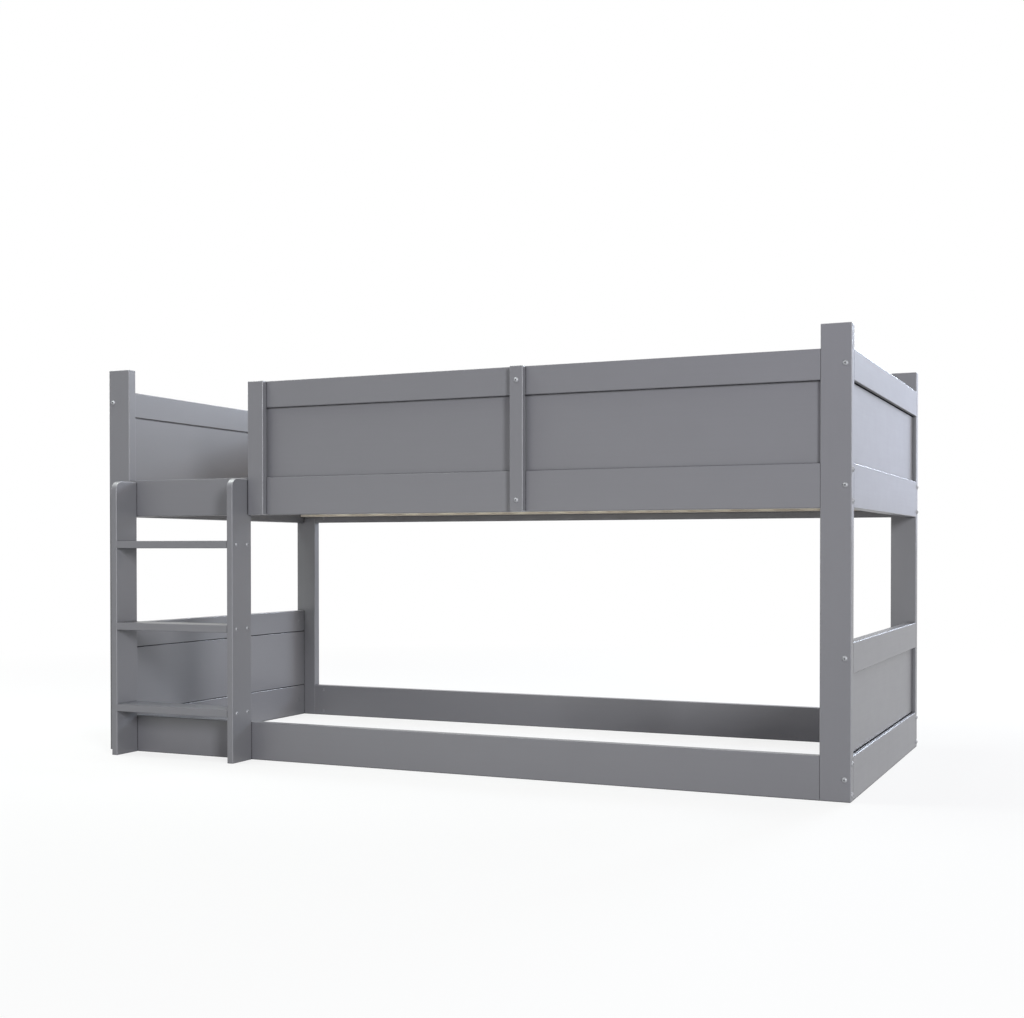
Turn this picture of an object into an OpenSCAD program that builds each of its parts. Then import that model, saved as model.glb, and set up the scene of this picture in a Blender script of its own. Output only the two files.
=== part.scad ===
// Low bunk bed: two beds one above the other, with panelled ends,
// a panelled front guard, slats in the upper bed and an upright ladder.
// Origin: on the floor, in the middle of the outline seen from above.
// +X is the bed's length, -Y is the ladder side, +Z is up.

/* [Bed] */
// Length over the posts
bed_l = 2070; // [1700:10:2400]
// Width over the posts
bed_w = 980; // [800:10:1400]
// Height of the posts
post_h = 1065; // [1050:5:1500]
// Width of a post, seen from the front
post_w = 70; // [60:1:100]
// Thickness of posts and rails
board_t = 28; // [24:1:40]
// Rounding of the long edges
edge_r = 2; // [1:0.5:5]

/* [Rails and ends] */
// Underside of the upper bed above the floor
upper_z = 655; // [600:5:680]
// Height of a side rail and of an end's bottom rail
rail_h = 100; // [92:1:120]
// Height of a top rail
cap_h = 70; // [50:1:90]
// Height of an end and of the guard, from rail bottom to top
end_h = 355; // [320:5:380]
// Thickness of the panels
panel_t = 18; // [15:1:22]

/* [Guard] */
// Clear width of the ladder entry beside the front left post
entry_w = 410; // [410:5:600]
// Thickness of the guard's stiles
stile_t = 18; // [14:1:24]
// Width of the stile at the guard's free end
end_stile_w = 48; // [35:1:70]
// Width of the guard's middle stile
mid_stile_w = 35; // [30:1:60]
// Lower bolt of the middle stile, above the rail's underside
stile_bolt_low = 27.5; // [20:0.5:60]

/* [Slats] */
// Width of a slat
slat_w = 70; // [50:1:90]
// Thickness of a slat
slat_t = 18; // [12:1:22]
// Distance from one slat to the next
slat_pitch = 130; // [110:1:140]
// Width and height of a ledger
ledger_s = 25; // [22:1:32]
// Underside of a ledger above the rail's underside
ledger_up = 20; // [15:1:25]

/* [Ladder] */
// Width over the stringers
ladder_w = 400; // [340:5:405]
// Depth of a stringer, front to back
stringer_d = 85; // [70:1:110]
// Thickness of a stringer
stringer_t = 18; // [16:1:28]
// Top of the stringers above the floor
stringer_h = 750; // [700:5:800]
// Radius of a stringer's upper front corner
stringer_corner_r = 25; // [5:1:45]
// Thickness of a tread
tread_t = 20; // [18:1:28]
// Top of the lowest tread above the floor
tread_first = 140; // [120:1:180]
// Rise from one tread to the next
tread_rise = 223; // [190:1:225]
// Number of treads
tread_count = 3; // [2:1:3]
// Gap between the ladder and the guard's end stile
ladder_gap = 2; // [1:0.5:5]

/* [Fasteners] */
// Diameter of the bolts
bolt_d = 6; // [5:0.5:8]
// Diameter of a bolt's domed head
bolt_head_d = 13; // [10:0.5:16]
// Height of a bolt's domed head
bolt_head_h = 3.5; // [2:0.5:5]
// Distance between the two bolts at a side rail's end
bolt_spread = 70; // [60:1:80]
// Diameter of a barrel nut
nut_d = 10; // [9:0.5:12]
// Length of a barrel nut
nut_l = 20; // [12:1:20]
// Barrel nut's distance from the rail's end
nut_inset = 35; // [30:1:50]
// Diameter of a tread screw's domed head
tread_head_d = 10; // [8:0.5:12]
// Height of a tread screw's domed head
tread_head_h = 2.5; // [1.5:0.5:4]
// Distance between the two screws of a tread's end
tread_screw_spread = 48; // [30:1:50]
// Diameter of the dowels
dowel_d = 8; // [6:1:10]
// Length of the dowels
dowel_l = 36; // [30:1:40]
// Diameter of the small wood screws
screw_d = 4; // [3:0.5:5]
// Length of the small wood screws
screw_l = 40; // [36:1:41]
// Diameter of the screws that hold the ladder
ladder_screw_d = 5; // [4:0.5:6]
// Length of the screws that hold the ladder
ladder_screw_l = 70; // [55:1:80]

/* [Fits] */
// Gap round a bolt, nut, dowel or screw in its hole
hole_gap = 0.2; // [0.1:0.05:0.5]
// Gap at the end of a slat or a ledger
end_gap = 1.5; // [0.5:0.5:4]

/* [Hidden] */
$fn = 48;
// How far a cut runs past the face it starts from
over = 1;
// Smaller roundings, of the panels' joints and of the slats
panel_edge_r = 1;
slat_edge_r = 2;
// Width and depth of the narrow groove where an end's panel meets its rails
seam_w = 2;
seam_deep = 3;
// Width of that groove under an upper end's top rail, on the inner face
cap_seam_w = 4;

// Outer faces of the bed, its centre being at x = 0, y = 0
x_out = bed_l / 2;
y_out = bed_w / 2;
// Faces that the side rails and the end rails butt against
x_in = x_out - post_w;
y_in = y_out - board_t;
// Inner face of an end
x_end_in = x_out - board_t;
// Middle of the boards' thickness
x_mid = x_out - board_t / 2;
y_mid = y_out - board_t / 2;
// Middle of the panels, whose inner faces are flush with the rails
x_panel = x_end_in + panel_t / 2;
y_panel = y_in + panel_t / 2;

side_l = 2 * x_in;
end_l = 2 * y_in;
panel_h = end_h - rail_h - cap_h;
panel_up = rail_h;
cap_up = rail_h + panel_h;
// The ladder in front and the bolt heads behind set the outline's middle
bed_y = (stringer_d - bolt_head_h) / 2;

// The guard's free end, its length and the place of its middle stile
guard_x = entry_w - x_in;
guard_l = x_in - guard_x;
guard_mid_x = (x_in + guard_x) / 2;
end_stile_x = guard_x + end_stile_w / 2;
mid_stile_x = (guard_x + end_stile_w + x_in) / 2;
cap_z = upper_z + cap_up;
cap_mid_z = cap_z + cap_h / 2;

// Ladder faces along X and the height of each tread's underside
ladder_right = guard_x - ladder_gap;
ladder_left = ladder_right - ladder_w;
tread_l = ladder_w - 2 * stringer_t;
tread_mid_x = ladder_left + ladder_w / 2;
stringer_mids = [ladder_left + stringer_t / 2, ladder_right - stringer_t / 2];
function tread_z(i) = tread_first + (i - 1) * tread_rise - tread_t;
function tread_name(i) = str("ladder_tread_", i);

// Slats and ledgers; the slats are as many as leave a slat's gap at both ends of the bed
ledger_z = upper_z + ledger_up;
slat_z = ledger_z + ledger_s;
ledger_l = 2 * (x_end_in - end_gap);
slat_l = 2 * (y_in - end_gap);
slat_gap = slat_pitch - slat_w;
slat_count = 1 + floor((2 * (x_end_in - slat_gap) - slat_w) / slat_pitch);
function slat_x(i) = (i - (slat_count + 1) / 2) * slat_pitch;
function slat_name(i) = str(i < 10 ? "slat_0" : "slat_", i);

// Heights of the bolts, above each bed's underside or above the floor
levels = [0, upper_z];
side_bolt_ups = [rail_h / 2 - bolt_spread / 2, rail_h / 2 + bolt_spread / 2];
side_bolt_zs = [for (z = levels, up = side_bolt_ups) z + up];
end_bolt_zs = [for (z = levels, up = [rail_h / 2, cap_up + cap_h / 2]) z + up];
stile_bolt_zs = [upper_z + stile_bolt_low, cap_mid_z];

// Bores and their depths
bolt_bore = bolt_d + 2 * hole_gap;
nut_bore = nut_d + 2 * hole_gap;
// A barrel nut ends at least nut_sunk below the board's face and, where it is long enough,
// nut_past beyond the bolt's middle; nut_front runs from the bolt's middle to the first end
nut_sunk = 0.5;
nut_past = 6.5;
nut_front = min(board_t / 2 - nut_sunk, nut_l - nut_past);
nut_bore_l = board_t / 2 + nut_l - nut_front + hole_gap;
bolt_tip = 8;
side_bolt_l = post_w + nut_inset + bolt_tip;
end_bolt_l = board_t + nut_inset + bolt_tip;
rail_bolt_bore_l = nut_inset + bolt_tip + over;
insert_wall = 2;
insert_d = bolt_d + 2 * insert_wall;
insert_bore = insert_d + 2 * hole_gap;
insert_l = 15;
insert_bolt_tip = 2;
insert_bore_past = 5;
stile_bolt_l = stile_t + insert_l + insert_bolt_tip;
insert_bore_l = insert_l + insert_bore_past;
tread_screw_grip = 42;
tread_screw_l = stringer_t + tread_screw_grip;
tread_screw_ys = [for (s = [-1, 1]) s * tread_screw_spread / 2 - y_out - stringer_d / 2];

// Dowels: two rows between each panel and its rails, and pairs at a top rail's end
dowel_bore = dowel_d + 2 * hole_gap;
dowel_bore_l = dowel_l / 2 + over;
dowel_inset = 90;
dowel_pitch = 200;
cap_dowel_spread = 30;
cap_dowel_zs = [for (s = [-1, 1]) cap_mid_z + s * cap_dowel_spread / 2];
function spots(mid, l) =
    let (span = l - 2 * dowel_inset, gaps = max(1, ceil(span / dowel_pitch)))
    [for (i = [0:gaps]) mid - span / 2 + i * span / gaps];
end_dowel_ys = spots(0, end_l);
front_dowel_xs = spots(guard_mid_x, guard_l);
back_dowel_xs = spots(0, side_l);

// A domed head's hexagon socket: its radius and the height of its floor, as shares of
// the head's diameter and height, and the flat rim round it
socket_r_share = 0.19;
socket_floor_share = 0.4;
socket_rim = 0.4;
// The slot in a barrel nut's end
nut_slot = 1.5;
// A wood screw's cross slot, head and tip, in shank diameters
screw_rim_share = 0.1;
screw_head_share = 0.6;
screw_tip_share = 1.5;
screw_slot_share = 0.2;
screw_slot_deep = 0.35;

// Screws: ledgers between every second pair of slats, ladder below the rail's top
screw_sink = 0.3;
ledger_screw_xs = [for (i = [1:2:(slat_count - 1) / 2], s = [-1, 1]) s * slat_x(i + 0.5)];
ledger_screw_z = ledger_z + ledger_s / 2;
slat_screw_y = y_in - ledger_s / 2;
screw_down = 30;
ladder_screw_zs = [rail_h / 2, upper_z + rail_h - screw_down];
end_stile_screw_zs = [upper_z + rail_h - screw_down, cap_mid_z];

// Rotations that turn +Z towards +X or -X, and towards +Y or -Y
function to_x(s) = [0, 90 * s, 0];
function to_y(s) = [-90 * s, 0, 0];
to_top = [0, 0, 0];
to_floor = [180, 0, 0];

paint = [0.50, 0.505, 0.53];
pine = [0.80, 0.69, 0.53];
beech = [0.72, 0.56, 0.38];
zinc = [0.76, 0.77, 0.79];

// ---- Boards with rounded edges ----

// A rectangle with round corners, its first corner at the origin
module rounded_rect(a, b, r) {
    translate([r, 0]) square([a - 2 * r, b]);
    translate([0, r]) square([a, b - 2 * r]);
    for (x = [r, a - r], y = [r, b - r])
        translate([x, y]) circle(r);
}

// Boards whose edges along X, Y or Z are round
module board_x(size, r) {
    rotate([90, 0, 90]) linear_extrude(size.x) rounded_rect(size.y, size.z, r);
}

module board_y(size, r) {
    translate([0, size.y, 0])
        rotate([90, 0, 0]) linear_extrude(size.y) rounded_rect(size.x, size.z, r);
}

module board_z(size, r) {
    linear_extrude(size.z) rounded_rect(size.x, size.y, r);
}

// A board whose twelve edges are all round
module block(size, r) {
    intersection() {
        board_x(size, r);
        board_y(size, r);
        board_z(size, r);
    }
}

// The bed's own centre, seen from the origin of the whole part
module in_place(colour) {
    color(colour) translate([0, bed_y, 0]) children();
}

// ---- Fasteners and their holes; each starts at a face and runs along -Z ----

module hole(place, turn, d, depth) {
    translate(place) rotate(turn) translate([0, 0, -depth]) cylinder(d = d, h = depth + over);
}

// A bolt whose domed head is flat at the rim of its hexagon socket
module dome_bolt(d, l, head_d, head_h) {
    socket_r = head_d * socket_r_share;
    rim_r = socket_r + socket_rim;
    ball_z = (pow(rim_r, 2) + pow(head_h, 2) - pow(head_d / 2, 2)) / (2 * head_h);
    ball_r = norm([head_d / 2, ball_z]);
    difference() {
        union() {
            translate([0, 0, -l]) cylinder(d = d, h = l);
            intersection() {
                translate([0, 0, ball_z]) sphere(ball_r);
                cylinder(d = head_d, h = head_h);
            }
        }
        translate([0, 0, head_h * socket_floor_share])
            cylinder(r = socket_r, h = head_h, $fn = 6);
    }
}

module rail_bolt(place, turn, l) {
    translate(place) rotate(turn) dome_bolt(bolt_d, l, bolt_head_d, bolt_head_h);
}

// A barrel nut: a cross bore takes the bolt, a slot shows which way it faces
module barrel_nut(place, turn, bolt_turn) {
    translate(place) difference() {
        rotate(turn) translate([0, 0, nut_front - nut_l]) cylinder(d = nut_d, h = nut_l);
        rotate(bolt_turn) translate([0, 0, -nut_d]) cylinder(d = bolt_bore, h = 2 * nut_d);
        rotate(turn) translate([-nut_d, -nut_slot / 2, nut_front - nut_slot])
            cube([2 * nut_d, nut_slot, nut_slot + over]);
    }
}

// Half outline of a countersunk wood screw, whose head's face is at z = 0
function screw_outline(l, d) = [
    [0, 0], [d, 0], [d, -d * screw_rim_share], [d / 2, -d * screw_head_share],
    [d / 2, d * screw_tip_share - l], [0, -l]
];

function screw_hole_outline(l, d) = [
    [0, over], [d + hole_gap, over],
    [d + hole_gap, -screw_sink - d * screw_rim_share],
    [d / 2 + hole_gap, -screw_sink - d * screw_head_share],
    [d / 2 + hole_gap, -l - over], [0, -l - over]
];

module wood_screw(place, turn, l, d) {
    translate(place) rotate(turn) translate([0, 0, -screw_sink]) difference() {
        rotate_extrude() polygon(screw_outline(l, d));
        for (a = [0, 90])
            rotate(a) translate([-d / 2, -d * screw_slot_share / 2, -d * screw_slot_deep])
                cube([d, d * screw_slot_share, d]);
    }
}

module screw_hole(place, turn, l, d) {
    translate(place) rotate(turn) rotate_extrude() polygon(screw_hole_outline(l, d));
}

module dowel(place, turn) {
    translate(place) rotate(turn) translate([0, 0, -dowel_l / 2]) cylinder(d = dowel_d, h = dowel_l);
}

// ---- Posts ----

// sx is -1 at the left end and 1 at the right; sy is -1 in front and 1 behind
module post(sx, sy) {
    has_guard = sx > 0 || sy > 0;
    in_place(paint) difference() {
        translate([sx > 0 ? x_in : -x_out, sy > 0 ? y_in : -y_out, 0])
            block([post_w, board_t, post_h], edge_r);
        for (z = side_bolt_zs)
            hole([sx * x_out, sy * y_mid, z], to_x(sx), bolt_bore, post_w + over);
        for (z = end_bolt_zs)
            hole([sx * x_mid, sy * y_out, z], to_y(sy), bolt_bore, board_t + over);
        if (has_guard) for (z = cap_dowel_zs)
            hole([sx * x_in, sy * y_mid, z], to_x(-sx), dowel_bore, dowel_bore_l);
        // A ladder wider than the entry is screwed to the post beside it
        if (sy < 0) for (z = ladder_screw_zs) ladder_screw_holes(z);
    }
}

module post_front_left() { post(-1, -1); }
module post_front_right() { post(1, -1); }
module post_back_left() { post(-1, 1); }
module post_back_right() { post(1, 1); }

// ---- Side rails ----

// The bores that take the bolts and barrel nuts at both ends of a side rail
module side_rail_bores(sy, z0) {
    for (sx = [-1, 1], up = side_bolt_ups) {
        hole([sx * x_in, sy * y_mid, z0 + up], to_x(sx), bolt_bore, rail_bolt_bore_l);
        hole([sx * (x_in - nut_inset), sy * y_in, z0 + up], to_y(-sy), nut_bore, nut_bore_l);
    }
}

module side_rail_board(sy, z0) {
    translate([-x_in, sy > 0 ? y_in : -y_out, z0]) board_x([side_l, board_t, rail_h], edge_r);
}

module upper_side_rail(sy, dowel_xs) {
    difference() {
        side_rail_board(sy, upper_z);
        side_rail_bores(sy, upper_z);
        for (x = dowel_xs)
            hole([x, sy * y_panel, upper_z + rail_h], to_top, dowel_bore, dowel_bore_l);
        for (x = ledger_screw_xs) ledger_screw_hole(x, sy);
    }
}

// Holes for the screws that pass through a front rail into the ladder's stringers
module ladder_screw_holes(z) {
    for (x = stringer_mids)
        screw_hole([x, -y_in, z], to_y(1), ladder_screw_l, ladder_screw_d);
}

module upper_side_rail_front() {
    in_place(paint) difference() {
        upper_side_rail(-1, front_dowel_xs);
        ladder_screw_holes(ladder_screw_zs[1]);
        end_stile_screw_hole(end_stile_screw_zs[0]);
        hole([mid_stile_x, -y_out, stile_bolt_zs[0]], to_y(-1), insert_bore, insert_bore_l);
    }
}

module upper_side_rail_back() {
    in_place(paint) upper_side_rail(1, back_dowel_xs);
}

module lower_side_rail_front() {
    in_place(paint) difference() {
        side_rail_board(-1, 0);
        side_rail_bores(-1, 0);
        ladder_screw_holes(ladder_screw_zs[0]);
    }
}

module lower_side_rail_back() {
    in_place(paint) difference() {
        side_rail_board(1, 0);
        side_rail_bores(1, 0);
    }
}

// ---- Ends: a bottom rail, a recessed panel and a top rail ----

// h is the rail's height; the dowel holes are in the edge that meets the panel
module end_rail(sx, z0, h, panel_above) {
    in_place(paint) difference() {
        translate([sx > 0 ? x_end_in : -x_out, -y_in, z0]) board_y([board_t, end_l, h], edge_r);
        for (sy = [-1, 1]) {
            hole([sx * x_mid, sy * y_in, z0 + h / 2], to_y(sy), bolt_bore, rail_bolt_bore_l);
            hole([sx * x_end_in, sy * (y_in - nut_inset), z0 + h / 2], to_x(-sx), nut_bore, nut_bore_l);
        }
        for (y = end_dowel_ys)
            hole([sx * x_panel, y, panel_above ? z0 + h : z0],
                 panel_above ? to_top : to_floor, dowel_bore, dowel_bore_l);
    }
}

// The panel's tongues along its lower and upper edge leave a groove on both faces
module end_panel_board() {
    translate([0, 0, seam_w])
        board_y([panel_t, end_l, panel_h - 2 * seam_w], panel_edge_r);
    translate([seam_deep, 0, 0]) cube([panel_t - 2 * seam_deep, end_l, panel_h]);
}

module end_panel(sx, z0, cap_seam = seam_w) {
    in_place(paint) difference() {
        translate([sx > 0 ? x_end_in : -x_end_in - panel_t, -y_in, z0 + panel_up])
            end_panel_board();
        if (cap_seam > seam_w)
            translate([sx > 0 ? x_end_in - over : -x_end_in - seam_deep, -y_out, z0 + cap_up - cap_seam])
                cube([seam_deep + over, bed_w, cap_seam + over]);
        for (y = end_dowel_ys) {
            hole([sx * x_panel, y, z0 + panel_up], to_floor, dowel_bore, dowel_bore_l);
            hole([sx * x_panel, y, z0 + cap_up], to_top, dowel_bore, dowel_bore_l);
        }
    }
}

module upper_left_bottom_rail() { end_rail(-1, upper_z, rail_h, true); }
module upper_left_panel() { end_panel(-1, upper_z, cap_seam_w); }
module upper_left_top_rail() { end_rail(-1, upper_z + cap_up, cap_h, false); }
module upper_right_bottom_rail() { end_rail(1, upper_z, rail_h, true); }
module upper_right_panel() { end_panel(1, upper_z, cap_seam_w); }
module upper_right_top_rail() { end_rail(1, upper_z + cap_up, cap_h, false); }
module lower_left_bottom_rail() { end_rail(-1, 0, rail_h, true); }
module lower_left_panel() { end_panel(-1, 0); }
module lower_left_top_rail() { end_rail(-1, cap_up, cap_h, false); }
module lower_right_bottom_rail() { end_rail(1, 0, rail_h, true); }
module lower_right_panel() { end_panel(1, 0); }
module lower_right_top_rail() { end_rail(1, cap_up, cap_h, false); }

// ---- Guards ----

// A guard's top rail from x0 to the right post, doweled to the posts at its ends
module guard_top_rail(sy, x0, dowel_xs, dowel_ends) {
    difference() {
        translate([x0, sy > 0 ? y_in : -y_out, cap_z]) board_x([x_in - x0, board_t, cap_h], edge_r);
        for (x = dowel_xs)
            hole([x, sy * y_panel, cap_z], to_floor, dowel_bore, dowel_bore_l);
        for (sx = dowel_ends, z = cap_dowel_zs)
            hole([sx * x_in, sy * y_mid, z], to_x(sx), dowel_bore, dowel_bore_l);
    }
}

module guard_panel(sy, x0, dowel_xs) {
    difference() {
        translate([x0, sy > 0 ? y_in : -y_in - panel_t, upper_z + panel_up])
            board_x([x_in - x0, panel_t, panel_h], panel_edge_r);
        for (x = dowel_xs) {
            hole([x, sy * y_panel, upper_z + panel_up], to_floor, dowel_bore, dowel_bore_l);
            hole([x, sy * y_panel, cap_z], to_top, dowel_bore, dowel_bore_l);
        }
    }
}

// The screws that hold the end stile run from the guard's inner face
module end_stile_screw_hole(z) {
    screw_hole([end_stile_x, -y_in, z], to_y(1), screw_l, screw_d);
}

module guard_top_rail_front() {
    in_place(paint) difference() {
        guard_top_rail(-1, guard_x, front_dowel_xs, [1]);
        end_stile_screw_hole(end_stile_screw_zs[1]);
        hole([mid_stile_x, -y_out, stile_bolt_zs[1]], to_y(-1), insert_bore, insert_bore_l);
    }
}

module guard_panel_front() {
    in_place(paint) guard_panel(-1, guard_x, front_dowel_xs);
}

module guard_top_rail_back() {
    in_place(paint) guard_top_rail(1, -x_in, back_dowel_xs, [-1, 1]);
}

module guard_panel_back() {
    in_place(paint) guard_panel(1, -x_in, back_dowel_xs);
}

module stile(x, w) {
    translate([x - w / 2, -y_out - stile_t, upper_z]) block([w, stile_t, end_h], edge_r);
}

module guard_end_stile() {
    in_place(paint) difference() {
        stile(end_stile_x, end_stile_w);
        for (z = end_stile_screw_zs) end_stile_screw_hole(z);
    }
}

module guard_middle_stile() {
    in_place(paint) difference() {
        stile(mid_stile_x, mid_stile_w);
        for (z = stile_bolt_zs)
            hole([mid_stile_x, -y_out - stile_t, z], to_y(-1), bolt_bore, stile_t + over);
    }
}

// ---- Slats and the ledgers that carry them ----

module ledger_screw_hole(x, sy) {
    screw_hole([x, sy * (y_in - ledger_s), ledger_screw_z], to_y(-sy), screw_l, screw_d);
}

module slat_screw_hole(x, sy) {
    screw_hole([x, sy * slat_screw_y, slat_z + slat_t], to_top, screw_l, screw_d);
}

module slat_ledger(sy) {
    in_place(pine) difference() {
        translate([-ledger_l / 2, sy > 0 ? y_in - ledger_s : -y_in, ledger_z])
            board_x([ledger_l, ledger_s, ledger_s], slat_edge_r);
        for (x = ledger_screw_xs) ledger_screw_hole(x, sy);
        for (i = [1:slat_count]) slat_screw_hole(slat_x(i), sy);
    }
}

module slat_ledger_front() { slat_ledger(-1); }
module slat_ledger_back() { slat_ledger(1); }

module slat(i) {
    in_place(pine) difference() {
        translate([slat_x(i) - slat_w / 2, -slat_l / 2, slat_z])
            board_y([slat_w, slat_l, slat_t], slat_edge_r);
        for (sy = [-1, 1]) slat_screw_hole(slat_x(i), sy);
    }
}

// ---- Ladder ----

// A stringer from above: depth along Y, thickness along X, its rear edge at y = 0
module stringer_section() {
    translate([0, -stringer_d]) rounded_rect(stringer_t, stringer_d, edge_r);
}

// The round upper front corner, whose rim is as round as the other edges
module stringer_corner() {
    rotate([0, 90, 0]) rotate_extrude() intersection() {
        translate([-stringer_corner_r, 0])
            rounded_rect(2 * stringer_corner_r, stringer_t, edge_r);
        square([stringer_corner_r, stringer_t]);
    }
}

module stringer_board() {
    straight_h = stringer_h - stringer_corner_r;
    intersection() {
        union() {
            linear_extrude(straight_h) stringer_section();
            translate([0, stringer_corner_r - stringer_d, straight_h]) stringer_corner();
            translate([0, stringer_corner_r - stringer_d, straight_h - stringer_corner_r])
                board_y([stringer_t, stringer_d - stringer_corner_r, 2 * stringer_corner_r], edge_r);
        }
        linear_extrude(stringer_h) stringer_section();
    }
}

module stringer(x) {
    in_place(paint) difference() {
        translate([x, -y_out, 0]) stringer_board();
        for (z = ladder_screw_zs) ladder_screw_holes(z);
        for (i = [1:tread_count], y = tread_screw_ys)
            hole([x + stringer_t, y, tread_z(i) + tread_t / 2], to_x(1), bolt_bore, stringer_t + over);
    }
}

module ladder_stringer_left() { stringer(ladder_left); }
module ladder_stringer_right() { stringer(ladder_right - stringer_t); }

module tread(i) {
    in_place(paint) difference() {
        translate([ladder_left + stringer_t, -y_out - stringer_d, tread_z(i)])
            board_x([tread_l, stringer_d, tread_t], edge_r);
        for (s = [-1, 1], y = tread_screw_ys)
            hole([tread_mid_x + s * tread_l / 2, y, tread_z(i) + tread_t / 2],
                 to_x(s), bolt_bore, tread_screw_grip + over);
    }
}

// ---- Bolts, nuts, screws and dowels in their places ----

module side_rail_bolts() {
    in_place(zinc) for (sx = [-1, 1], sy = [-1, 1], z = side_bolt_zs)
        rail_bolt([sx * x_out, sy * y_mid, z], to_x(sx), side_bolt_l);
}

module end_rail_bolts() {
    in_place(zinc) for (sx = [-1, 1], sy = [-1, 1], z = end_bolt_zs)
        rail_bolt([sx * x_mid, sy * y_out, z], to_y(sy), end_bolt_l);
}

module barrel_nuts() {
    in_place(zinc) for (sx = [-1, 1], sy = [-1, 1]) {
        for (z = side_bolt_zs)
            barrel_nut([sx * (x_in - nut_inset), sy * y_mid, z], to_y(-sy), to_x(sx));
        for (z = end_bolt_zs)
            barrel_nut([sx * x_mid, sy * (y_in - nut_inset), z], to_x(-sx), to_y(sy));
    }
}

module stile_bolts() {
    in_place(zinc) for (z = stile_bolt_zs)
        rail_bolt([mid_stile_x, -y_out - stile_t, z], to_y(-1), stile_bolt_l);
}

module stile_inserts() {
    in_place(zinc) for (z = stile_bolt_zs)
        translate([mid_stile_x, -y_out, z]) rotate(to_y(-1)) translate([0, 0, -insert_l])
            difference() {
                cylinder(d = insert_d, h = insert_l);
                translate([0, 0, -over]) cylinder(d = bolt_bore, h = insert_l + 2 * over);
            }
}

module tread_screws() {
    in_place(zinc) for (i = [1:tread_count], s = [-1, 1], y = tread_screw_ys)
        translate([tread_mid_x + s * ladder_w / 2, y, tread_z(i) + tread_t / 2])
            rotate(to_x(s)) dome_bolt(bolt_d, tread_screw_l, tread_head_d, tread_head_h);
}

module ladder_screws() {
    in_place(zinc) for (x = stringer_mids, z = ladder_screw_zs)
        wood_screw([x, -y_in, z], to_y(1), ladder_screw_l, ladder_screw_d);
}

module panel_dowels(sy, xs) {
    for (x = xs, up = [panel_up, cap_up])
        dowel([x, sy * y_panel, upper_z + up], to_top);
}

module dowels() {
    in_place(beech) {
        for (sx = [-1, 1], z = levels, y = end_dowel_ys, up = [panel_up, cap_up])
            dowel([sx * x_panel, y, z + up], to_top);
        panel_dowels(-1, front_dowel_xs);
        panel_dowels(1, back_dowel_xs);
        for (z = cap_dowel_zs) {
            dowel([x_in, -y_mid, z], to_x(1));
            for (sx = [-1, 1]) dowel([sx * x_in, y_mid, z], to_x(1));
        }
    }
}

module frame_screws() {
    in_place(zinc) {
        for (x = ledger_screw_xs, sy = [-1, 1])
            wood_screw([x, sy * (y_in - ledger_s), ledger_screw_z], to_y(-sy), screw_l, screw_d);
        for (z = end_stile_screw_zs)
            wood_screw([end_stile_x, -y_in, z], to_y(1), screw_l, screw_d);
    }
}

module slat_screws() {
    in_place(zinc) for (i = [1:slat_count], sy = [-1, 1])
        wood_screw([slat_x(i), sy * slat_screw_y, slat_z + slat_t], to_top, screw_l, screw_d);
}

post_front_left();
post_front_right();
post_back_left();
post_back_right();
upper_side_rail_front();
upper_side_rail_back();
lower_side_rail_front();
lower_side_rail_back();
upper_left_bottom_rail();
upper_left_panel();
upper_left_top_rail();
upper_right_bottom_rail();
upper_right_panel();
upper_right_top_rail();
lower_left_bottom_rail();
lower_left_panel();
lower_left_top_rail();
lower_right_bottom_rail();
lower_right_panel();
lower_right_top_rail();
guard_top_rail_front();
guard_panel_front();
guard_end_stile();
guard_middle_stile();
guard_top_rail_back();
guard_panel_back();
slat_ledger_front();
slat_ledger_back();
ladder_stringer_left();
ladder_stringer_right();
side_rail_bolts();
end_rail_bolts();
barrel_nuts();
stile_bolts();
stile_inserts();
tread_screws();
ladder_screws();
dowels();
frame_screws();
slat_screws();
for (i = [1:tread_count]) tread(i);
for (i = [1:slat_count]) slat(i);
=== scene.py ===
import math

import bpy
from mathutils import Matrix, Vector


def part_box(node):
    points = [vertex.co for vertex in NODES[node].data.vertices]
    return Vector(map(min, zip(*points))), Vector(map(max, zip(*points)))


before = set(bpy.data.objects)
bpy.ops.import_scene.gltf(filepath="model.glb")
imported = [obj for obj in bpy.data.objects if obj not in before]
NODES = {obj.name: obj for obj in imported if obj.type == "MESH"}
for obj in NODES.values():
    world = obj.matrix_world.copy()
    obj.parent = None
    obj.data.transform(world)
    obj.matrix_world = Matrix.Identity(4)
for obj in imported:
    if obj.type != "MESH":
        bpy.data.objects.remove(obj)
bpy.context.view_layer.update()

# ---- Camera: metres and degrees, in the frame of a 1024 x 1018 picture ----
PICTURE_W = 1024
PICTURE_H = 1018
FOCAL_PX = 1393.63
CENTRE_PX = (522.22, 568.17)
EYE = (1.62665, -3.56048, 0.55903)
YAW = 24.06
PITCH = -0.71
SENSOR_MM = 36.0
NEAR_CLIP = 0.05
FAR_CLIP = 200

# ---- Colours, as linear light ----
PAINT = (0.190, 0.188, 0.202)
PINE_EARLY = (0.73, 0.66, 0.565)
PINE_LATE = (0.58, 0.46, 0.325)
PINE_KNOT = (0.20, 0.10, 0.045)
BEECH_LIGHT = (0.55, 0.36, 0.20)
BEECH_DARK = (0.36, 0.20, 0.10)
ZINC = (0.34, 0.345, 0.36)

# ---- Surfaces: gloss is the shader's specular level, reliefs and reaches are in metres ----
GLOSS = 0.5
PAINT_ROUGH = 0.38
PAINT_RELIEF = 0.000022
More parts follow.
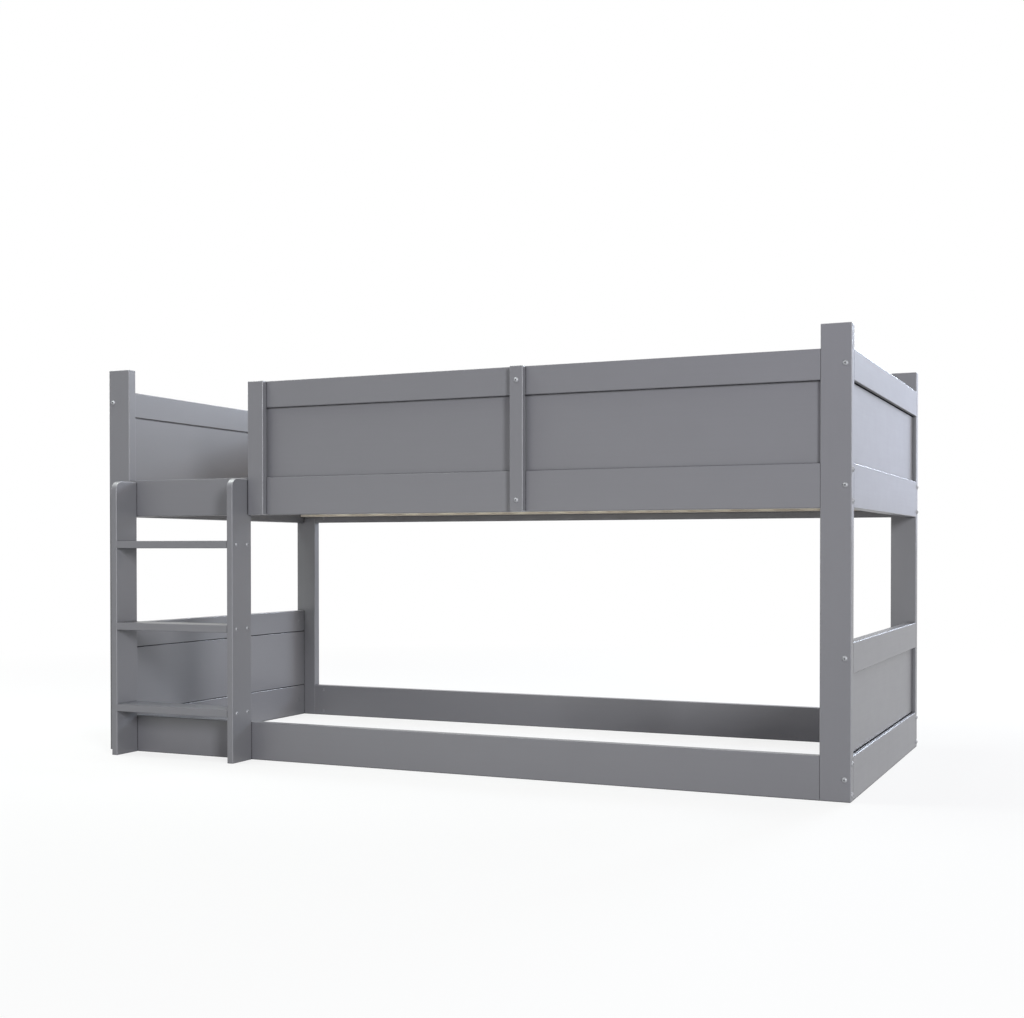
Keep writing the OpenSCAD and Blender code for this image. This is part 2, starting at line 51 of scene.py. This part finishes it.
# Painted shade in seams: how far the paint looks for a closing corner, and the tone it is darkened to
# there
SEAM_REACH = 0.006
SEAM_SHADE_TONE = 0.08
RING_WIDTH = 0.0036
PITH_BELOW = 0.055
PINE_RELIEF = 0.00008
BEECH_RELIEF = 0.00005
ZINC_RELIEF = 0.000012
# Painted shade in the zinc's sockets and hollows: how far it looks for them, and the tone it is
# darkened to there
SOCKET_REACH = 0.006
SOCKET_SHADE_TONE = 0.25

# ---- Paint on boards whose grain runs along x, y and z, with painted edge highlights and painted seam shade set for each ----
# Each sets the share of the sky below which a seam is painted fully dark as shade, then, for rounded
# edges, how much paler their colour is painted as a highlight, their roughness, and a factor on their
# gloss.
PAINTS = (
    {"name": "paint_x", "seam_shade_sky": 0.15, "edge_highlight_tone": 1.0, "edge_rough": 0.23, "edge_gloss": 0.3},
    {"name": "paint_y", "seam_shade_sky": 0.45, "edge_highlight_tone": 1.25, "edge_rough": 0.23, "edge_gloss": 0.5},
    {"name": "paint_z", "seam_shade_sky": 0.15, "edge_highlight_tone": 1.35, "edge_rough": 0.33, "edge_gloss": 1.6},
)

# ---- Which way the grain of each kind of board runs; all others have it along y ----
GRAIN_X = ("side_rail", "guard_top_rail", "guard_panel", "tread", "ledger")
GRAIN_Z = ("post", "stile", "stringer")

# ---- Studio: the floor turns white to the eye between two distances from the origin ----
WORLD_LIGHT = 0.1
FLOOR_HALF = 60.0
FLOOR_DROP = 0.0005
FLOOR_BOUNCE = 0.5
FLOOR_LIT = 0.9
FLOOR_WHITE_NEAR = 0.8
FLOOR_NEAR = 1.6
FLOOR_FAR = 4.5


def photo_camera():
    """The camera of the picture: almost level, with the frame shifted."""
    data = bpy.data.cameras.new("camera")
    data.sensor_width = SENSOR_MM
    data.lens = FOCAL_PX / PICTURE_W * SENSOR_MM
    data.shift_x = (PICTURE_W / 2 - CENTRE_PX[0]) / PICTURE_W
    data.shift_y = (CENTRE_PX[1] - PICTURE_H / 2) / PICTURE_W
    data.clip_start = NEAR_CLIP
    data.clip_end = FAR_CLIP
    camera = bpy.data.objects.new("camera", data)
    camera.location = EYE
    camera.rotation_euler = (math.radians(90 + PITCH), 0, math.radians(YAW))
    bpy.context.scene.collection.objects.link(camera)
    bpy.context.scene.camera = camera


class Nodes:
    """A short way to write a node tree."""

    def __init__(self, tree):
        self.tree = tree
        tree.nodes.clear()

    def add(self, kind, **inputs):
        """A new node; a keyword sets a property, or an input by its name or, as i0, its number."""
        node = self.tree.nodes.new(kind)
        for name, value in inputs.items():
            if hasattr(node, name):
                setattr(node, name, value)
            else:
                self.put(node, name, value)
        return node

    def put(self, node, name, value):
        """Sets one input, by a link where the value is an output."""
        key = int(name[1:]) if name[0] == "i" and name[1:].isdigit() else name.replace("_", " ")
        socket_shade = node.inputs[key]
        if isinstance(value, bpy.types.NodeSocket):
            self.tree.links.new(value, socket_shade)
        else:
            socket_shade.default_value = value

    def maths(self, operation, a, b=0.0, c=0.0):
        """One sum on numbers."""
        return self.add("ShaderNodeMath", operation=operation, i0=a, i1=b, i2=c).outputs[0]

    def vector(self, operation, a, b=(0.0, 0.0, 0.0)):
        """One sum on vectors."""
        return self.add("ShaderNodeVectorMath", operation=operation, i0=a, i1=b).outputs[0]

    def remap(self, value, from_lo, from_hi, to_lo=0.0, to_hi=1.0, ease="LINEAR"):
        """The value carried from one range to another, and held at its ends."""
        node = self.add("ShaderNodeMapRange", interpolation_type=ease,
                        i0=value, i1=from_lo, i2=from_hi, i3=to_lo, i4=to_hi)
        return node.outputs[0]

    def noise(self, spot, per_metre, detail=2.0, swirl=0.0):
        """Cloudy noise from 0 to 1."""
        node = self.add("ShaderNodeTexNoise", Vector=spot, Scale=per_metre, Detail=detail,
                        Distortion=swirl)
        return node.outputs[0]

    def vary(self, value, amount):
        """A factor that runs from 1 - amount to 1 + amount as the noise runs from 0.25 to 0.75."""
        return self.remap(value, 0.25, 0.75, 1 - amount, 1 + amount)

    def product(self, *factors):
        """All factors multiplied."""
        result = factors[0]
        for factor in factors[1:]:
            result = self.maths("MULTIPLY", result, factor)
        return result

    def shade(self, colour, factor):
        """A colour made lighter or darker by a factor."""
        node = self.add("ShaderNodeVectorMath", operation="SCALE", i0=colour, Scale=factor)
        return node.outputs[0]

    def mix(self, factor, a, b):
        """From colour a to colour b."""
        node = self.add("ShaderNodeMix", data_type="RGBA", i0=factor)
        for socket_shade, value in ((6, a), (7, b)):
            self.put(node, "i%d" % socket_shade, value if hasattr(value, "node") else (*value, 1))
        return node.outputs[2]

    def spot(self):
        """Metres on the piece, shifted so that no two pieces share their pattern."""
        place = self.add("ShaderNodeTexCoord").outputs["Object"]
        piece = self.add("ShaderNodeObjectInfo").outputs["Random"]
        shift = self.maths("MULTIPLY", piece, 40.0)
        return self.vector("ADD", place, shift)

    def squeeze(self, spot, axis, factor):
        """The same place with one axis shortened, so that a pattern runs long that way."""
        scale = [1.0, 1.0, 1.0]
        scale[axis] = 1 / factor
        return self.vector("MULTIPLY", spot, tuple(scale))

    def arris(self):
        """0 on a flat face, 1 on the round of an edge, for boards that stand square."""
        normal = self.add("ShaderNodeTexCoord").outputs["Normal"]
        parts = self.add("ShaderNodeSeparateXYZ", i0=self.vector("ABSOLUTE", normal))
        most = self.maths("MAXIMUM", parts.outputs[0], parts.outputs[1])
        most = self.maths("MAXIMUM", most, parts.outputs[2])
        return self.remap(most, 0.995, 0.80)

    def crevice(self, reach, full=0.15):
        """0 in the open, rising in corners to 1 where no more than full of the sky is seen: a mask for
        painted shade.
        """
        open_sky = self.add("ShaderNodeAmbientOcclusion", samples=6, Distance=reach)
        closed = self.remap(open_sky.outputs["AO"], 0.92, full)
        return self.product(closed, closed)

    def seen(self):
        """1 for what is seen directly, in a mirror or through glass, 0 for light on the object."""
        path = self.add("ShaderNodeLightPath")
        direct = self.maths("MAXIMUM", path.outputs["Is Camera Ray"], path.outputs["Is Glossy Ray"])
        return self.maths("MAXIMUM", direct, path.outputs["Is Transmission Ray"])

    def surface(self, colour, roughness, height, depth, metallic=0.0, gloss=GLOSS):
        """The shader and its relief, depth metres deep."""
        relief = self.add("ShaderNodeBump", Strength=1.0, Distance=depth, Height=height)
        shader = self.add("ShaderNodeBsdfPrincipled", Base_Color=colour, Roughness=roughness,
                          Metallic=metallic, Specular_IOR_Level=gloss, Normal=relief.outputs[0])
        self.add("ShaderNodeOutputMaterial", Surface=shader.outputs[0])


def new_material(name):
    material = bpy.data.materials.new(name)
    material.use_nodes = True
    return material, Nodes(material.node_tree)


def paint(name, axis, seam_shade_sky, edge_highlight_tone, edge_rough, edge_gloss):
    """Satin paint on pine: soft grain lines along the board, a painted highlight on the edges, painted
    shade and less gloss in the seams.
    """
    material, n = new_material(name)
    spot = n.spot()
    along = n.squeeze(spot, axis, 40)
    cloud = n.noise(spot, per_metre=4, detail=2)
    sheen = n.noise(spot, per_metre=22, detail=3)
    grain = n.noise(along, per_metre=190, detail=3, swirl=0.4)
    fibre = n.noise(along, per_metre=700, detail=2)
    peel = n.noise(spot, per_metre=750, detail=1)
    edge = n.arris()
    seam = n.crevice(SEAM_REACH, seam_shade_sky)

    # The colour carries a painted highlight on the rounded edges and painted shade in the seams.
    tone = n.product(n.vary(cloud, 0.02), n.vary(grain, 0.009),
                     n.remap(edge, 0, 1, 1, edge_highlight_tone), n.remap(seam, 0, 1, 1, SEAM_SHADE_TONE))
    roughness = n.product(n.vary(sheen, 0.03), n.vary(grain, 0.03),
                          n.remap(edge, 0, 1, PAINT_ROUGH, edge_rough))
    gloss = n.product(n.remap(seam, 0, 0.25, GLOSS, 0), n.remap(edge, 0, 1, 1, edge_gloss))
    height = n.maths("ADD", grain, n.maths("MULTIPLY", fibre, 0.15))
    height = n.maths("ADD", height, n.maths("MULTIPLY", peel, 0.25))
    n.surface(n.shade(PAINT, tone), roughness, height, PAINT_RELIEF, gloss=gloss)
    return material


def pine(name, axis, board, pitch):
    """Planed pine with its growth rings: board is one of a row that lie a pitch apart."""
    material, n = new_material(name)
    spot = n.spot()
    along = n.squeeze(spot, axis, 14)

    # Knots run through the board's thickness, and the grain bends round them.
    through = n.squeeze(n.squeeze(spot, 2, 20), axis, 1.6)
    knots = n.add("ShaderNodeTexVoronoi", Vector=through, Scale=7.0).outputs["Distance"]
    knot = n.remap(knots, 0.062, 0.036, ease="SMOOTHSTEP")
    bend = n.remap(knots, 0.24, 0.03, ease="SMOOTHSTEP")

    # The pith runs below the board, leaning and off to one side, otherwise for each one.
    middle = [(a + b) / 2 for a, b in zip(*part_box(board))]
    here = n.add("ShaderNodeSeparateXYZ", i0=n.add("ShaderNodeTexCoord").outputs["Object"])
    piece = n.add("ShaderNodeObjectInfo").outputs["Random"]
    again = n.maths("FRACT", n.maths("MULTIPLY", piece, 17.0))
    across = n.maths("SUBTRACT", here.outputs[1 - axis], middle[1 - axis])
    across = n.maths("WRAP", across, pitch / 2, -pitch / 2)
    side = n.maths("ADD", across, n.remap(piece, 0, 1, -0.03, 0.03))
    lean = n.maths("MULTIPLY", here.outputs[axis], n.remap(again, 0, 1, -0.05, 0.05))
    wander = n.noise(n.squeeze(spot, axis, 2.5), per_metre=3, detail=1)
    down = n.maths("ADD", n.maths("SUBTRACT", here.outputs[2], middle[2] - PITH_BELOW), lean)
    down = n.maths("ADD", down, n.remap(wander, 0.25, 0.75, 0, 0.02))

    # A ring is a distance from the pith; each one darkens slowly and ends sharply.
    ring = n.maths("SQRT", n.maths("ADD", n.product(side, side), n.product(down, down)))
    ring = n.maths("ADD", ring, n.maths("MULTIPLY", bend, 0.008))
    waver = n.noise(along, per_metre=50, detail=2)
    ring = n.maths("ADD", ring, n.maths("MULTIPLY", waver, 0.0014))
    turn = n.maths("FRACT", n.maths("MULTIPLY", ring, 1 / RING_WIDTH))
    late = n.product(n.remap(turn, 0.25, 0.93, ease="SMOOTHSTEP"),
                     n.remap(turn, 1.0, 0.95, ease="SMOOTHSTEP"))

    fibre = n.noise(n.squeeze(spot, axis, 60), per_metre=900, detail=2)
    cloud = n.noise(along, per_metre=9, detail=2)
    # Painted shade: the wood is darkened in its corners and hollows.
    corner_shade = n.crevice(reach=0.012)
    tone = n.product(n.vary(fibre, 0.05), n.vary(cloud, 0.06),
                     n.remap(piece, 0, 1, 0.93, 1.04), n.remap(corner_shade, 0, 1, 1, 0.4))
    wood = n.mix(n.maths("MULTIPLY", late, 0.62), PINE_EARLY, PINE_LATE)
    wood = n.mix(n.maths("MULTIPLY", bend, 0.22), wood, PINE_LATE)
    wood = n.mix(n.maths("MULTIPLY", knot, 0.85), wood, PINE_KNOT)
    roughness = n.remap(late, 0, 1, 0.58, 0.46)
    height = n.maths("ADD", n.maths("MULTIPLY", fibre, 0.7), n.maths("MULTIPLY", late, 0.6))
    n.surface(n.shade(wood, tone), roughness, height, PINE_RELIEF)
    return material


def beech(name):
    """Turned beech dowels: fine flecks along the length."""
    material, n = new_material(name)
    spot = n.spot()
    fleck = n.noise(n.squeeze(spot, 2, 6), per_metre=900, detail=3)
    ray = n.noise(spot, per_metre=260, detail=2)
    wood = n.mix(n.remap(fleck, 0.35, 0.7), BEECH_LIGHT, BEECH_DARK)
    roughness = n.remap(fleck, 0.3, 0.7, 0.46, 0.58)
    n.surface(n.shade(wood, n.vary(ray, 0.06)), roughness, fleck, BEECH_RELIEF)
    return material


def zinc(name):
    """Zinc-plated steel: grey metal with a cloudy polish, and painted shade in its sockets and
    hollows.
    """
    material, n = new_material(name)
    spot = n.spot()
    cloud = n.noise(spot, per_metre=420, detail=3)
    fine = n.noise(spot, per_metre=2600, detail=2)
    socket_shade = n.crevice(SOCKET_REACH)
    tone = n.product(n.vary(cloud, 0.07), n.remap(socket_shade, 0, 1, 1, SOCKET_SHADE_TONE))
    roughness = n.remap(cloud, 0.25, 0.75, 0.58, 0.70)
    n.surface(n.shade(ZINC, tone), roughness, fine, ZINC_RELIEF, metallic=1.0)
    return material


def grain_axis(name):
    """0, 1 or 2: the axis that a board's grain runs along."""
    if any(word in name for word in GRAIN_X):
        return 0
    return 2 if any(word in name for word in GRAIN_Z) else 1


def finish_nodes():
    """Each CAD node gets its material, by the record's slot and by the way its grain runs."""
    slat_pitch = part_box("slat_02")[0][0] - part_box("slat_01")[0][0]
    ledger_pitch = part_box("slat_ledger_back")[0][1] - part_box("slat_ledger_front")[0][1]
    finishes = {
        "grey_paint": [paint(axis=axis, **looks) for axis, looks in enumerate(PAINTS)],
        "natural_pine": [pine("pine_ledger", 0, "slat_ledger_front", ledger_pitch),
                         pine("pine_slat", 1, "slat_01", slat_pitch)],
        "beech": [beech("beech")] * 3,
        "zinc_steel": [zinc("zinc")] * 3,
    }
    for name, node in NODES.items():
        for slot in node.material_slots:
            finish = slot.material.name.split(".")[0]
            slot.material = finishes[finish][grain_axis(name)]


def add_lamp(name, place, target, size, watts, colour=(1, 1, 1)):
    """A soft rectangular lamp that faces its target."""
    data = bpy.data.lights.new(name, "AREA")
    data.shape = "RECTANGLE"
    data.size, data.size_y = size
    data.energy = watts
    data.color = colour
    lamp = bpy.data.objects.new(name, data)
    lamp.location = place
    lamp.rotation_euler = (Vector(target) - Vector(place)).to_track_quat("-Z", "Y").to_euler()
    bpy.context.scene.collection.objects.link(lamp)


def surroundings():
    """White to the eye, but a weak light on the object."""
    world = bpy.data.worlds.new("studio")
    bpy.context.scene.world = world
    world.use_nodes = True
    n = Nodes(world.node_tree)
    strength = n.remap(n.seen(), 0, 1, WORLD_LIGHT, 1.0)
    background = n.add("ShaderNodeBackground", Color=(1, 1, 1, 1), Strength=strength)
    n.add("ShaderNodeOutputWorld", Surface=background.outputs[0])


def lamps():
    """The key from the front right, with soft lamps all round."""
    middle = (0.0, 0.0, 0.5)
    add_lamp("key", (6.8, -6.8, 3.25), middle, (1.7, 3.0), 612, (0.957, 0.982, 1.0))
    add_lamp("front_high", (0.3, -5.5, 2.6), (0.4, 0.0, 0.8), (2.0, 1.6), 24, (0.76, 0.72, 1.0))
    add_lamp("front_low", (-1.3, -4.2, 0.25), (-0.8, 0.0, 0.15), (2.6, 0.3), 15, (1.0, 1.0, 0.92))
    add_lamp("left_high", (-1.5, -0.5, 3.2), (-0.8, 0.0, 0.5), (2.0, 2.0), 86, (0.93, 1.0, 0.94))
    add_lamp("right_high", (3.0, 3.5, 3.5), middle, (2.5, 2.0), 70, (1.0, 0.91, 0.93))
    add_lamp("far_left", (-6.0, 1.0, 2.4), middle, (2.5, 2.0), 75)
    add_lamp("back_high", (1.8, 6.0, 3.2), middle, (2.0, 1.6), 274, (0.76, 0.87, 1.0))
    add_lamp("back_low", (2.0, 6.0, 1.5), middle, (2.0, 1.6), 18, (0.65, 0.73, 1.0))


def floor_material():
    """Pale floor: white to the eye, with the soft shadow of the bed."""
    material, n = new_material("floor")
    place = n.add("ShaderNodeNewGeometry").outputs["Position"]
    away = n.add("ShaderNodeVectorMath", operation="LENGTH", i0=place).outputs["Value"]
    far = n.remap(away, FLOOR_NEAR, FLOOR_FAR, FLOOR_WHITE_NEAR, 1.0)
    lit = n.add("ShaderNodeBsdfDiffuse", Color=(FLOOR_LIT, FLOOR_LIT, FLOOR_LIT, 1))
    white = n.add("ShaderNodeEmission", Color=(1, 1, 1, 1), Strength=1.0)
    shown = n.add("ShaderNodeMixShader", i0=far, i1=lit.outputs[0], i2=white.outputs[0])
    grey = n.add("ShaderNodeBsdfDiffuse", Color=(FLOOR_BOUNCE, FLOOR_BOUNCE, FLOOR_BOUNCE, 1))
    both = n.add("ShaderNodeMixShader", i0=n.seen(), i1=grey.outputs[0], i2=shown.outputs[0])
    n.add("ShaderNodeOutputMaterial", Surface=both.outputs[0])
    return material


def add_floor():
    """A wide floor, a hair below the feet."""
    half = FLOOR_HALF
    mesh = bpy.data.meshes.new("floor")
    mesh.from_pydata([(-half, -half, 0), (half, -half, 0), (half, half, 0), (-half, half, 0)],
                     [], [(0, 1, 2, 3)])
    mesh.materials.append(floor_material())
    floor = bpy.data.objects.new("floor", mesh)
    floor.location.z = -FLOOR_DROP
    bpy.context.scene.collection.objects.link(floor)


photo_camera()
surroundings()
add_floor()
lamps()
finish_nodes()
bpy.context.scene.view_settings.view_transform = "Standard"
